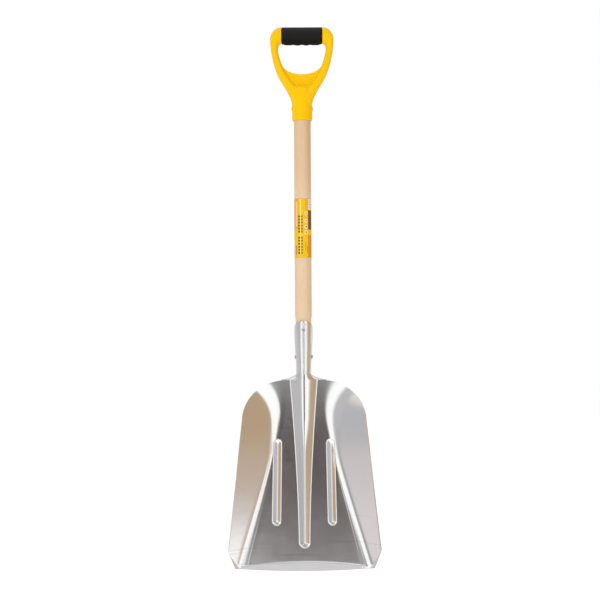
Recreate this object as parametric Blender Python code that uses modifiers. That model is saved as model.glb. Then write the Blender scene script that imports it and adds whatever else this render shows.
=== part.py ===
"""Scoop shovel: a pressed aluminium scoop, a round wooden shaft and a plastic D-handle with a soft grip.

It hangs from its crossbar, so the world origin is the hang point under the grip. +Z is up the shaft,
and the scoop is open towards -Y. Every height below is in millimetres above the middle of the lip, and
every part is a child of an empty that stands there.
"""

import math

import bmesh
import bpy
import numpy as np
from mathutils import Vector
from mathutils.geometry import interpolate_bezier

MM = 0.001
GAP = 0.3  # clear space between touching parts
HANG_HEIGHT = 1143.0  # the underside of the grip, above the lip

# Scoop: outline
SHEET = 2.0
LIP_CORNER = (149.0, 6.5)
WALL_CORNER = (162.5, 48.0)
WALL_CORNER_ROUND = 8.0
WALL_BOW = ((152.3, 130.0), (141.4, 235.0))  # handles of the long side edge, a little hollow
SHOULDER = (132.3, 323.0)
TOP_FLAT = (30.0, 406.0)  # the top edge is level out to here, then runs round to the shoulder
SHOULDER_POWER = 2.15
OUTLINE_SPLIT = 118.0  # the sheet's patches meet at this point of the round shoulder

# Scoop: floor and walls
LEAN = math.radians(8)  # the floor leans this much from the shaft, lip forwards
FLOOR_TOP_Y = -4.2
WALL_ANGLE = math.radians(38)
FOLD_HALF = 65.0  # half the floor's width at its waist
FOLD_SPREAD = 0.155
FOLD_WAIST = 256.0
FOLD_SOFT = 40.0
FOLD_FLARE = 45.0
FLARE_START = 301.0
FILLET = 12.0  # half the width of the round fold where it is tightest
FILLET_TIGHT = 245.0
FILLET_LOW_GAIN = 0.0
FILLET_HIGH_GAIN = 26.0
FOLD_EASE = 0.11  # share of the fold that starts gently, low on the floor

# Scoop: ridge, ribs and lip
RIDGE_END = 61.0
RIDGE_HALF_LOW = 11.2
RIDGE_HALF_GAIN = 18.3
RIDGE_SLOPE = 0.58  # rise of its flanks at the foot
RIB_TOP = (57.6, 268.5)
RIB_FOOT = (60.0, 105.5)
RIB_HALF = 8.7
RIB_SLOPE = 0.58
CREST_ROUND = (0.06, 0.3)  # of the half width, low down and near the socket
FOOT_ROUND = 1.3
LIP_BEND = math.radians(12)
LIP_BAND = 19.5
LIP_SOFT = 12.0

# Scoop: socket
SOCKET_WRAP = math.radians(168)  # half of the tube's wrap, which leaves a seam at the back
SOCKET_R_LOW = 16.3
SOCKET_R_TOP = 19.9
SOCKET_TAPER = (431.0, 511.0)
SOCKET_RIM = 535.0
SOCKET_RIM_DROP = 15.0  # the rim is this much lower at the tube's sides than in front
CURL_LENGTH = 15.0  # the sheet curls from scoop to tube over this height
EDGE_FILLET = 10.0
MOUTH_DEPTH = 15.0  # the seam opens this much, on each side, to a mouth at the socket's foot
MOUTH_TOP = 448.0
STRIP_HALF = 55.0  # the middle strip that runs on into the socket

# Shaft and label
SHAFT_R = 18.4
SHAFT_FOOT = 434.0
SHAFT_NECK = (535.7, 541.5)
SHAFT_TOP = 1038.0
SOCKET_FIT = 0.5  # the shaft's clearance in the socket
CHAMFER = 2.0
LABEL = (674.0, 802.5)
LABEL_FILM = 0.3

# Handle
NECK_R = 22.0
NECK_RIM = 975.0
NECK_TOP = 1046.0
BORE_TOP = 1040.0
BOSS_Z = 1001.5
BOSS_R = 7.5
BOSS_PROUD = 0.6
BAR_Z = 1162.7
CORE_R = 13.0
GRIP_R = 18.0
GRIP_HALF = 44.5
WEB_HALF = 6.0
WEB_FOOT = 1036.0

# Fasteners
RIVET_Z = 455.8
RIVET_R = 3.0
NAIL_Z = 515.8
NAIL_R = 1.5
NAIL_LENGTH = 20.0
PIN_R = 2.5


# ---------------------------------------------------------------------------------------------- scene


def clear_scene():
    for obj in list(bpy.data.objects):
        bpy.data.objects.remove(obj, do_unlink=True)


def new_collection(name):
    made = bpy.data.collections.new(name)
    bpy.context.scene.collection.children.link(made)
    return made


clear_scene()
PARTS = new_collection("scoop_shovel")
CUTTERS = new_collection("cutters")
LIP_EMPTY = bpy.data.objects.new("lip_height", None)
PARTS.objects.link(LIP_EMPTY)
LIP_EMPTY.location.z = -HANG_HEIGHT * MM


def material(name, color, roughness, metallic=0.0):
    made = bpy.data.materials.new(name)
    made.use_nodes = True
    shader = made.node_tree.nodes["Principled BSDF"]
    shader.inputs["Base Color"].default_value = (*color, 1)
    shader.inputs["Roughness"].default_value = roughness
    shader.inputs["Metallic"].default_value = metallic
    return made


def mesh_object(name, points, faces, finish, collection=PARTS):
    """An object from points in millimetres above the lip."""
    mesh = bpy.data.meshes.new(name)
    mesh.from_pydata([Vector(p) * MM for p in points], [], faces)
    mesh.update()
    return place(bpy.data.objects.new(name, mesh), finish, collection)


def place(obj, finish, collection=PARTS):
    collection.objects.link(obj)
    obj.parent = LIP_EMPTY
    if finish:
        obj.data.materials.append(finish)
    return obj


def shade_smooth(obj, angle=40):
    """Smooth shading with the edges over this many degrees kept sharp."""
    mesh = obj.data
    mesh.shade_smooth()
    mesh.set_sharp_from_angle(angle=math.radians(angle))


def turned(name, profile, finish, steps=48, collection=PARTS):
    """A closed profile of (radius, height) points turned about its own Z axis."""
    points = [(r, 0, z) for r, z in profile]
    obj = mesh_object(name, points, [], finish, collection)
    mesh = bmesh.new()
    mesh.from_mesh(obj.data)
    mesh.verts.ensure_lookup_table()
    for a, b in zip(mesh.verts[:-1], mesh.verts[1:]):
        mesh.edges.new((a, b))
    if profile[0][0] > 0:
        mesh.edges.new((mesh.verts[-1], mesh.verts[0]))
    mesh.to_mesh(obj.data)
    mesh.free()
    screw = obj.modifiers.new("turn", "SCREW")
    screw.steps = steps
    screw.render_steps = steps
    screw.use_merge_vertices = True
    screw.merge_threshold = 0.00001
    screw.use_smooth_shade = True
    return obj


def cutter_rod(name, radius, start, end, steps=32):
    """A cylinder between two points, to cut with."""
    a, b = Vector(start) * MM, Vector(end) * MM
    bpy.ops.mesh.primitive_cylinder_add(vertices=steps, radius=radius * MM, depth=(b - a).length)
    obj = bpy.context.active_object
    obj.name = name
    for collection in list(obj.users_collection):
        collection.objects.unlink(obj)
    CUTTERS.objects.link(obj)
    obj.parent = LIP_EMPTY
    obj.location = (a + b) / 2
    obj.rotation_mode = "QUATERNION"
    obj.rotation_quaternion = (b - a).to_track_quat("Z", "Y")
    return obj


def as_cutter(obj):
    obj.hide_render = True
    obj.display_type = "WIRE"
    return obj


def boolean(obj, other, operation="DIFFERENCE"):
    as_cutter(other)
    made = obj.modifiers.new(f"{operation.lower()}_{other.name}", "BOOLEAN")
    made.operation = operation
    made.object = other
    made.solver = "EXACT"
    return made


# ---------------------------------------------------------------------------------------------- scoop


def rounded_hinge(s, half):
    """0 before a fold, s after it, and a smooth round stretch of this half width between them."""
    t = np.clip((s + half) / (2 * half), 0, 1)
    return np.where(s > half, s, 2 * half * (t**3 - t**4 / 2))


def smoothstep(t):
    t = np.clip(t, 0, 1)
    return t * t * (3 - 2 * t)


def pressed_fold(away, half, slope, crest):
    """A long raised fold: steepest at its foot, with a round crest."""
    up = rounded_hinge(np.hypot(half, crest * half) - np.hypot(away, crest * half), FOOT_ROUND)
    return slope * up * (1 - 0.05 * up / half)


def lip_height(x):
    """The bottom edge is a shallow arc, lowest in the middle."""
    return LIP_CORNER[1] * (x / LIP_CORNER[0]) ** 2


def top_height(x):
    """The top edge of the scoop, round to the shoulder."""
    across = np.clip((x - TOP_FLAT[0]) / (SHOULDER[0] - TOP_FLAT[0]), 0, 1)
    rise = (1 - across**SHOULDER_POWER) ** (1 / SHOULDER_POWER)
    return SHOULDER[1] + (TOP_FLAT[1] - SHOULDER[1]) * rise


def fold_half(z):
    """Half the floor's width: narrow at the waist, wider to the lip and, in a flare, to the shoulders."""
    below = FOLD_WAIST - z
    flare = np.clip((z - FLARE_START) / (TOP_FLAT[1] - FLARE_START), 0, 1)
    return FOLD_HALF + FOLD_SPREAD * (below + np.hypot(below, FOLD_SOFT)) + FOLD_FLARE * flare**2.6


def wall_relief(x, z):
    slope = (fold_half(z + 0.5) - fold_half(z - 0.5)) / np.hypot(1, fold_half(z + 0.5) - fold_half(z - 0.5))
    away = (x - fold_half(z)) * np.sqrt(1 - slope**2)
    below, above = (FILLET_TIGHT - z) / 100, (z - FILLET_TIGHT) / 115
    half = FILLET + FILLET_LOW_GAIN * smoothstep(below) + FILLET_HIGH_GAIN * np.clip(above, 0, 1.4) ** 1.2
    ease = FOLD_EASE * (1 - smoothstep((z - 150) / 120))
    return math.tan(WALL_ANGLE) * ((1 - ease) * rounded_hinge(away, half) + ease * rounded_hinge(away + 12, 18))


def ridge_half(z):
    up = np.clip((z - RIDGE_END) / (TOP_FLAT[1] - RIDGE_END), 0, 1)
    return RIDGE_HALF_LOW + RIDGE_HALF_GAIN * up**1.6


def ridge_relief(x, z):
    crest = CREST_ROUND[0] + (CREST_ROUND[1] - CREST_ROUND[0]) * smoothstep((z - 240) / 90)
    return pressed_fold(np.hypot(x, np.minimum(z - RIDGE_END, 0)), ridge_half(z), RIDGE_SLOPE, crest)


def rib_relief(x, z):
    along = np.array(RIB_TOP) - np.array(RIB_FOOT)
    t = ((x - RIB_FOOT[0]) * along[0] + (z - RIB_FOOT[1]) * along[1]) / (along @ along)
    t = np.clip(t, 0, 1)
    away = np.hypot(x - RIB_FOOT[0] - t * along[0], z - RIB_FOOT[1] - t * along[1])
    return pressed_fold(away, RIB_HALF, RIB_SLOPE, CREST_ROUND[0])


def lip_relief(x, z):
    """The sheet bends back along the lip, and up the ends of the walls."""
    band = LIP_BAND - 8.5 * (x / 125) ** 2 + 1.7 * rounded_hinge(x - 140, 6)
    return -math.tan(LIP_BEND) * rounded_hinge(band - z, LIP_SOFT)


def relief(x, z):
    """How far the pressed sheet stands out of the floor's plane, towards -Y."""
    return wall_relief(x, z) + ridge_relief(x, z) + rib_relief(x, z) + lip_relief(x, z)


def floor_y(z):
    return FLOOR_TOP_Y - (TOP_FLAT[1] - z) * math.tan(LEAN)


def socket_radius(z):
    t = np.clip((z - SOCKET_TAPER[0]) / (SOCKET_TAPER[1] - SOCKET_TAPER[0]), 0, 1)
    return SOCKET_R_LOW + (SOCKET_R_TOP - SOCKET_R_LOW) * smoothstep(t**0.8)


def sheet_x(s, z):
    """The distance from the middle of a point that lies s along the sheet from the crest."""
    x = np.linspace(0, 1.2 * STRIP_HALF, 241)
    run = np.hypot(np.diff(x), np.diff(relief(x, z)))
    return np.interp(s, np.concatenate([[0], np.cumsum(run)]), x)


def strip_ends(s):
    """The heights where a line of the middle strip meets the lip and the top edge."""
    return lip_height(sheet_x(s, 0)), top_height(sheet_x(s, TOP_FLAT[1]))


def scoop_point(x, z):
    return x, floor_y(z) - relief(x, z), z


def strip_edge(z):
    """Half the flat width of the tongue that rolls into the socket."""
    up = np.clip(z - TOP_FLAT[1], 0, EDGE_FILLET)
    fillet = EDGE_FILLET - np.sqrt(EDGE_FILLET**2 - (EDGE_FILLET - up) ** 2)
    base = TOP_FLAT[1]
    full = SOCKET_WRAP * socket_radius(z)
    mouth = MOUTH_DEPTH * (1 - smoothstep((z - base) / (MOUTH_TOP - base)))
    corner = STRIP_HALF - full - EDGE_FILLET + MOUTH_DEPTH
    return full - mouth + fillet + corner * (fillet / EDGE_FILLET)


def rim_height(s):
    return SOCKET_RIM - SOCKET_RIM_DROP * (1 - math.cos(s / SOCKET_R_TOP))


def tongue_point(s, z):
    """A point of the tongue: its section uncurls from the tube into the top of the scoop."""
    base = TOP_FLAT[1]
    curl = smoothstep(np.clip((z - base) / CURL_LENGTH, 0, 1) ** 0.7)
    along = np.linspace(0, s, 81)
    x = sheet_x(along, base)
    flat_angle = -np.arctan(np.gradient(relief(x, base), x + 1e-9 * np.arange(81))) if s > 0 else along
    angle = (1 - curl) * flat_angle + curl * along / socket_radius(z)
    step = along[1] - along[0]
    across = np.sum((np.cos(angle[:-1]) + np.cos(angle[1:])) / 2) * step
    back = np.sum((np.sin(angle[:-1]) + np.sin(angle[1:])) / 2) * step
    crest_low, below = scoop_point(0, base)[1], scoop_point(0, base - 1)[1]
    crest_low += (crest_low - below) * (z - base)
    settle = smoothstep((z - base) / 35)
    crest = (1 - settle) * crest_low - settle * socket_radius(z)
    return across, crest + back, z


def wall_side(share):
    """A point of the side outline, from the lip's corner (0) to the split on the shoulder (1)."""
    corner, low, high = Vector(WALL_CORNER), Vector(LIP_CORNER), Vector(SHOULDER)
    bow = [Vector(handle) for handle in WALL_BOW]
    before = corner + (low - corner).normalized() * WALL_CORNER_ROUND
    after = corner + (bow[0] - corner).normalized() * WALL_CORNER_ROUND
    line = [low, *interpolate_bezier(before, corner, corner, after, 7)]
    line += interpolate_bezier(after, *bow, high, 13)[1:]
    for x in np.linspace(SHOULDER[0], OUTLINE_SPLIT, 13)[1:]:
        line.append(Vector((x, float(top_height(x)))))
    line = np.array([p[:2] for p in line])
    run = np.concatenate([[0], np.cumsum(np.hypot(*np.diff(line, axis=0).T))])
    return np.array([np.interp(share * run[-1], run, line[:, k]) for k in (0, 1)])


def side_patch(shares_out, shares_up):
    """Points (x, z) of the sheet between the middle strip and the outline, blended from its four sides."""

    def inner(up):
        z_low, z_high = strip_ends(STRIP_HALF)
        z = z_low + up * (z_high - z_low)
        return np.array([sheet_x(STRIP_HALF, z), z])

    def bottom(out):
        x = inner(0)[0] + out * (LIP_CORNER[0] - inner(0)[0])
        return np.array([x, lip_height(x)])

    def top(out):
        x = inner(1)[0] + out * (OUTLINE_SPLIT - inner(1)[0])
        return np.array([x, top_height(x)])

    rows = []
    for up in shares_up:
        row = []
        for out in shares_out:
            sides = (1 - out) * inner(up) + out * wall_side(up)
            ends = (1 - up) * bottom(out) + up * top(out)
            low = (1 - up) * ((1 - out) * inner(0) + out * wall_side(0))
            high = up * ((1 - out) * inner(1) + out * wall_side(1))
            row.append(sides + ends - low - high)
        rows.append(row)
    return np.array(rows)


STRIP_COLUMNS = [0, 3, 6, 9, 12, 15, 18.5, 22, 26, 30, 35, 41, 47, 51, STRIP_HALF]
SIDE_COLUMNS = [0.06, 0.12, 0.18, 0.25, 0.32, 0.39, 0.46, 0.54, 0.64, 0.76, 0.88, 1.0]
SCOOP_ROWS = 30
TONGUE_ROWS = [2, 4, 6, 8.5, 12, 17, 24, 32, 42, 54, 66, 78, 90, 104]


def scoop_grid():
    """Half of the pressed sheet, as rows of 3-D points from the lip up. Tongue rows have fewer columns."""
    ups = [i / SCOOP_ROWS for i in range(SCOOP_ROWS + 1)]
    side = side_patch(SIDE_COLUMNS, ups)
    grid = []
    for i, up in enumerate(ups):
        row = []
        for s in STRIP_COLUMNS:
            z_low, z_high = strip_ends(s)
            z = z_low + up * (z_high - z_low)
            row.append(scoop_point(sheet_x(s, z), z))
        row += [scoop_point(x, z) for x, z in side[i]]
        grid.append(row)
    for height in [*TONGUE_ROWS, SOCKET_RIM - TOP_FLAT[1]]:
        share = height / (SOCKET_RIM - TOP_FLAT[1])
        row = []
        for s in STRIP_COLUMNS:
            z_low = strip_ends(s)[1]
            z = z_low + share * (rim_height(s) - z_low)
            row.append(tongue_point(s * strip_edge(z) / STRIP_HALF, z))
        grid.append(row)
    return grid


def build_scoop(finish):
    grid = scoop_grid()
    points, index = [], []
    for row in grid:
        start = len(points)
        points += [(-x, y, z) for x, y, z in reversed(row[1:])] + row
        index.append(list(range(start, len(points))))
    faces = []
    for low, high in zip(index[:-1], index[1:]):
        spare = (len(low) - len(high)) // 2
        low = low[spare : len(low) - spare]
        faces += [(low[j], low[j + 1], high[j + 1], high[j]) for j in range(len(low) - 1)]
    obj = mesh_object("scoop", points, faces, finish)
    skin = obj.modifiers.new("sheet", "SOLIDIFY")
    skin.thickness = SHEET * MM
    skin.offset = -1
    skin.use_even_offset = True
    shade_smooth(obj)
    reach = 2 * SOCKET_R_TOP
    boolean(obj, cutter_rod("rivet_way", RIVET_R + GAP, (-reach, 0, RIVET_Z), (reach, 0, RIVET_Z), 24))
    boolean(obj, cutter_rod("nail_way", NAIL_R + GAP, (0, -reach, NAIL_Z), (0, 0, NAIL_Z), 16))
    return obj


# ---------------------------------------------------------------------------------------------- shaft


def build_shaft(finish):
    inside = SHEET + SOCKET_FIT
    foot_r = float(socket_radius(SHAFT_FOOT)) - inside
    profile = [(0, SHAFT_TOP), (SHAFT_R - CHAMFER, SHAFT_TOP), (SHAFT_R, SHAFT_TOP - CHAMFER)]
    profile.append((SHAFT_R, SHAFT_NECK[1]))
    for z in np.linspace(SHAFT_NECK[0], SHAFT_FOOT + CHAMFER, 14):
        profile.append((float(socket_radius(z)) - inside, float(z)))
    profile += [(foot_r - CHAMFER, SHAFT_FOOT), (0, SHAFT_FOOT)]
    obj = turned("wooden_shaft", profile, finish, 56)
    reach = 2 * SHAFT_R
    boolean(obj, cutter_rod("shaft_rivet_way", RIVET_R + GAP, (-reach, 0, RIVET_Z), (reach, 0, RIVET_Z), 24))
    boolean(obj, cutter_rod("shaft_pin_way", PIN_R + GAP, (-reach, 0, BOSS_Z), (reach, 0, BOSS_Z), 24))
    nail_end = NAIL_LENGTH + CHAMFER - SOCKET_R_TOP
    boolean(obj, cutter_rod("shaft_nail_way", NAIL_R + GAP, (0, -reach, NAIL_Z), (0, nail_end, NAIL_Z), 16))
    return obj


def build_label(finish):
    inner = SHAFT_R + 0.2
    outer = inner + LABEL_FILM
    profile = [(outer, LABEL[1]), (outer, LABEL[0]), (inner, LABEL[0]), (inner, LABEL[1])]
    return turned("shaft_label", profile, finish, 56)


# --------------------------------------------------------------------------------------------- handle


def bezier(points, count):
    """Points (x, z) along a chain of cubic segments: knot, handle, handle, knot, handle, ..."""
    found = []
    for i in range(0, len(points) - 1, 3):
        knots = [Vector((*p, 0)) for p in points[i : i + 4]]
        found += interpolate_bezier(*knots, count)[(1 if found else 0) :]
    return [(p.x, p.y) for p in found]


OUTER_RAIL = [
    (GRIP_HALF + 0.5, BAR_Z + GRIP_R), (59, 1180.7), (69.8, 1168.5), (69.8, 1154),
    (69.8, 1129), (63.3, 1098.5), (53.2, 1074.5), (45.4, 1056.5), (22, 1030), (21.6, 1006),
]  # fmt: skip
INNER_RAIL = [
    (GRIP_HALF + 0.5, BAR_Z - GRIP_R), (48, 1144.7), (50.8, 1143.5), (52.2, 1137),
    (53.4, 1127), (48.8, 1107), (36.2, 1081), (29.5, 1068), (16, 1050), (0, 1044),
]  # fmt: skip
THROAT = [  # height, half width, half depth and squareness where the arms run into the neck
    (1003, 21.2, 21.2, 2.0), (1020, 22.4, 19.4, 2.2), (1035, 28.2, 16.8, 2.5), (1050, 36.8, 14.8, 3.0),
]  # fmt: skip
ARM_DEPTHS = [(0.0, 18.0), (0.34, 15.0), (0.7, 14.0), (0.85, 16.0), (1.0, 20.0)]
ARM_STEPS = 7
RING_POINTS = 20
RING_POWER = 2.5


def ring(outer, inner, depth, power=RING_POWER):
    """A rounded section in the plane of two rail points and Y."""
    outer, inner = np.array([outer[0], 0, outer[1]]), np.array([inner[0], 0, inner[1]])
    centre, half = (outer + inner) / 2, (outer - inner) / 2
    points = []
    for k in range(RING_POINTS):
        a = 2 * math.pi * k / RING_POINTS
        c, s = math.cos(a), math.sin(a)
        across = math.copysign(abs(c) ** (2 / power), c)
        front = math.copysign(abs(s) ** (2 / power), s)
        points.append(tuple(centre + half * across + np.array([0, depth * front, 0])))
    return points


def arm_rings():
    """Rings of half the D: the crossbar's core, its collar, the corner, the arm and the root in the neck."""
    core_top, core_low = BAR_Z + CORE_R, BAR_Z - CORE_R
    collar = GRIP_HALF + 0.5
    rings = [ring((x, core_top), (x, core_low), CORE_R, 2) for x in (0, collar)]
    outer, inner = bezier(OUTER_RAIL, ARM_STEPS + 1), bezier(INNER_RAIL, ARM_STEPS + 1)
    shares, depths = zip(*ARM_DEPTHS)
    for i, (o, n) in enumerate(zip(outer, inner)):
        share = i / (len(outer) - 1)
        power = 2 + (RING_POWER - 2) * min(1, 3 * share)
        rings.append(ring(o, n, float(np.interp(share, shares, depths)), power))
    rings.append(ring((0, NECK_RIM + 30), (0, NECK_TOP - 8), NECK_R - 2))
    return rings


def build_handle(finish):
    rings = arm_rings()
    points = [p for r in rings for p in r]
    faces = []
    for i in range(len(rings) - 1):
        for k in range(RING_POINTS):
            a, b = i * RING_POINTS + k, i * RING_POINTS + (k + 1) % RING_POINTS
            faces.append((a, b, b + RING_POINTS, a + RING_POINTS))
    obj = mesh_object("d_handle", points, faces, finish)
    mesh = bmesh.new()
    mesh.from_mesh(obj.data)
    bmesh.ops.recalc_face_normals(mesh, faces=mesh.faces)
    mesh.to_mesh(obj.data)
    mesh.free()
    mirror = obj.modifiers.new("other_half", "MIRROR")
    mirror.merge_threshold = 0.00001
    shade_smooth(obj)

    round_off = 3.0
    neck = [(0, NECK_TOP), (NECK_R - round_off, NECK_TOP), (NECK_R - 0.9, NECK_TOP - 0.9)]
    neck += [(NECK_R, NECK_TOP - round_off), (NECK_R, NECK_RIM + round_off), (NECK_R - 0.9, NECK_RIM + 0.9)]
    neck += [(NECK_R - round_off, NECK_RIM), (0, NECK_RIM)]
    boolean(obj, turned("neck", neck, None, 48, CUTTERS), "UNION")
    boolean(obj, web(), "UNION")
    boolean(obj, throat(), "UNION")
    boss_end = NECK_R + BOSS_PROUD
    boolean(obj, cutter_rod("bosses", BOSS_R, (-boss_end, 0, BOSS_Z), (boss_end, 0, BOSS_Z)), "UNION")
    boolean(obj, cutter_rod("shaft_bore", SHAFT_R + GAP, (0, 0, NECK_RIM - 10), (0, 0, BORE_TOP), 56))
    reach = 2 * NECK_R
    boolean(obj, cutter_rod("pin_way", PIN_R + GAP, (-reach, 0, BOSS_Z), (reach, 0, BOSS_Z), 24))
    return obj


def throat():
    """The body in front of and behind the web's foot, which blends the arms into the neck."""
    points = [p for z, w, d, power in THROAT for p in ring((-w, z), (w, z), d, power)]
    faces = [list(range(RING_POINTS))[::-1], list(range(len(points) - RING_POINTS, len(points)))]
    for i in range(len(THROAT) - 1):
        for k in range(RING_POINTS):
            a, b = i * RING_POINTS + k, i * RING_POINTS + (k + 1) % RING_POINTS
            faces.append((a, b, b + RING_POINTS, a + RING_POINTS))
    obj = mesh_object("throat", points, faces, None, CUTTERS)
    mesh = bmesh.new()
    mesh.from_mesh(obj.data)
    bmesh.ops.recalc_face_normals(mesh, faces=mesh.faces)
    mesh.to_mesh(obj.data)
    mesh.free()
    return obj


def web():
    """The plate that closes the foot of the D, thinner than the arms."""
    top = bezier([(0, 1077.3), (25, 1077.3), (43, 1086.5), (48.8, 1108)], 9)
    outline = top + [(53, 1090), (43, 1067), (22, WEB_FOOT)]
    outline += [(-x, z) for x, z in reversed(outline[1:])]
    curve = bpy.data.curves.new("web", "CURVE")
    curve.dimensions = "2D"
    curve.fill_mode = "BOTH"
    curve.extrude = WEB_HALF * MM
    line = curve.splines.new("POLY")
    line.points.add(len(outline) - 1)
    for point, (x, z) in zip(line.points, outline):
        point.co = (x * MM, z * MM, 0, 1)
    line.use_cyclic_u = True
    flat = bpy.data.objects.new("web_outline", curve)
    bpy.context.scene.collection.objects.link(flat)
    graph = bpy.context.evaluated_depsgraph_get()
    mesh = bpy.data.meshes.new_from_object(flat.evaluated_get(graph))
    bpy.data.objects.remove(flat, do_unlink=True)
    welded = bmesh.new()
    welded.from_mesh(mesh)
    bmesh.ops.remove_doubles(welded, verts=welded.verts, dist=0.00001)
    welded.to_mesh(mesh)
    welded.free()
    obj = place(bpy.data.objects.new("web", mesh), None, CUTTERS)
    obj.rotation_euler.x = math.radians(90)
    return obj


def build_grip(finish):
    """A sleeve round the crossbar, with shallow finger waves on its underside."""
    length_steps, around = 32, 28
    inner_r = CORE_R + GAP
    points, faces = [], []
    for i in range(length_steps + 1):
        x = GRIP_HALF * (2 * i / length_steps - 1)
        end = GRIP_HALF - abs(x)
        swell = 2.4 * float(smoothstep(end / 10))
        wave = 0.7 * math.cos(2 * math.pi * x / 19) * float(smoothstep((27 - abs(x)) / 9))
        for k in range(around):
            a = 2 * math.pi * k / around
            under = max(0.0, -math.sin(a)) ** 2
            r = GRIP_R + (swell - wave) * under
            points.append((x, r * math.cos(a), BAR_Z + r * math.sin(a)))
    for x in (-GRIP_HALF, GRIP_HALF):
        for k in range(around):
            a = 2 * math.pi * k / around
            points.append((x, inner_r * math.cos(a), BAR_Z + inner_r * math.sin(a)))
    first_end = (length_steps + 1) * around
    chain = [first_end, *[i * around for i in range(length_steps + 1)], first_end + around]
    for low, high in zip(chain, [*chain[1:], chain[0]]):
        for k in range(around):
            n = (k + 1) % around
            faces.append((low + k, low + n, high + n, high + k))
    obj = mesh_object("handle_grip", points, faces, finish)
    mesh = bmesh.new()
    mesh.from_mesh(obj.data)
    bmesh.ops.recalc_face_normals(mesh, faces=mesh.faces)
    mesh.to_mesh(obj.data)
    mesh.free()
    shade_smooth(obj)
    return obj


# ------------------------------------------------------------------------------------------ fasteners


def dome(radius, height, base, count=5):
    """Profile points of a domed head, from its tip to its rim."""
    quarter = [math.pi / 2 * i / count for i in range(count + 1)]
    return [(radius * math.sin(a), base + height * math.cos(a)) for a in quarter]


def build_socket_rivet(finish):
    """Its factory head is the high one at +X, and its set head the flatter one at -X."""
    seat = float(socket_radius(RIVET_Z)) + GAP
    high, low = dome(4.4, 2.8, seat), dome(4.4, 1.8, seat)
    profile = [*high, (RIVET_R, seat), (RIVET_R, -seat), *[(r, -z) for r, z in reversed(low)]]
    obj = turned("socket_rivet", profile, finish, 28)
    obj.location.z = RIVET_Z * MM
    obj.rotation_euler.y = math.radians(90)
    return obj


def build_socket_nail(finish):
    seat = SOCKET_R_TOP + GAP
    tip = seat - NAIL_LENGTH
    profile = [*dome(3.8, 1.3, seat + 0.4), (3.8, seat), (NAIL_R, seat), (NAIL_R, tip + 3), (0, tip)]
    obj = turned("socket_nail", profile, finish, 24)
    obj.location.z = NAIL_Z * MM
    obj.rotation_euler.x = math.radians(90)
    return obj


def build_handle_rivet(finish):
    seat = NECK_R + BOSS_PROUD + GAP
    head = dome(4.0, 0.6, seat)
    profile = [*head, (PIN_R, seat), (PIN_R, -seat), *[(r, -z) for r, z in reversed(head)]]
    obj = turned("handle_rivet", profile, finish, 28)
    obj.location.z = BOSS_Z * MM
    obj.rotation_euler.y = math.radians(90)
    return obj


# ----------------------------------------------------------------------------------------------- main

build_scoop(material("aluminium", (0.72, 0.72, 0.72), 0.22, 1.0))
build_shaft(material("pale_wood", (0.80, 0.61, 0.40), 0.55))
build_label(material("label_film", (0.95, 0.62, 0.03), 0.35))
build_handle(material("yellow_plastic", (0.95, 0.58, 0.01), 0.38))
build_grip(material("black_rubber", (0.018, 0.016, 0.016), 0.6))
steel = material("zinc_steel", (0.62, 0.62, 0.62), 0.35, 1.0)
build_socket_rivet(steel)
build_socket_nail(steel)
build_handle_rivet(steel)
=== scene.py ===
"""Scoop shovel, hung by its D-handle in front of a white studio.

Heights are in millimetres above the middle of the lip, as in the CAD. The frame's origin is the hang
point under the grip.
"""

import math

import bmesh
import bpy
import numpy as np
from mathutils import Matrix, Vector
from mathutils.geometry import interpolate_bezier


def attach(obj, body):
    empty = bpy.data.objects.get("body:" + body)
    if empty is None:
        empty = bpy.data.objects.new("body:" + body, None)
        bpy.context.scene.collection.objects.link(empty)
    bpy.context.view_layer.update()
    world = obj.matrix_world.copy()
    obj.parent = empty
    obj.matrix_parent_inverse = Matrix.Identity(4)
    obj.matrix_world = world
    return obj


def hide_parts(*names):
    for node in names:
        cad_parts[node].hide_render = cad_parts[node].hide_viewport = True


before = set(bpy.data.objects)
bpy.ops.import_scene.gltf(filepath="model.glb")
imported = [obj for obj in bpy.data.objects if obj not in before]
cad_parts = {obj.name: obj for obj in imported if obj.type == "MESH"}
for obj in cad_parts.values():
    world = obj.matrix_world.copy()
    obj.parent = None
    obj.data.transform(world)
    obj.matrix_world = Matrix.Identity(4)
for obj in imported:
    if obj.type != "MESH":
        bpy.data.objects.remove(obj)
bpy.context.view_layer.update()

MM = 0.001
GAP = 0.3  # clearance between two pieces
HANG_HEIGHT = 1143.0  # the frame's origin above the lip

# Scoop: outline
SHEET = 2.0
LIP_CORNER = (149.0, 6.5)
WALL_CORNER = (162.1, 48.0)
WALL_CORNER_ROUND = 8.0
WALL_BOW = ((152.3, 130.0), (141.4, 235.0))
SHOULDER = (132.3, 323.0)
TOP_FLAT = (30.0, 406.0)
SHOULDER_POWER = 2.15
OUTLINE_SPLIT = 118.0

# Scoop: floor and walls
LEAN = math.radians(8)
FLOOR_TOP_Y = -4.2
WALL_ANGLE = math.radians(38)
FOLD_HALF = 65.0
FOLD_SPREAD = 0.155
FOLD_WAIST = 256.0
FOLD_SOFT = 40.0
FOLD_FLARE = 45.0
FLARE_START = 301.0
FOLD_FLARE_POWER = 2.6
FILLET = 12.0  # half width of the fold's round, up to FILLET_TIGHT
FILLET_TIGHT = 245.0
FILLET_GROWTH = 115.0
FILLET_HIGH_GAIN = 26.0
FOLD_EASE = 0.11  # share of the fold that starts gently, low on the floor
EASE_HEIGHTS = (150.0, 270.0)
EASE_OUT = 12.0
EASE_HALF = 18.0

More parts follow.
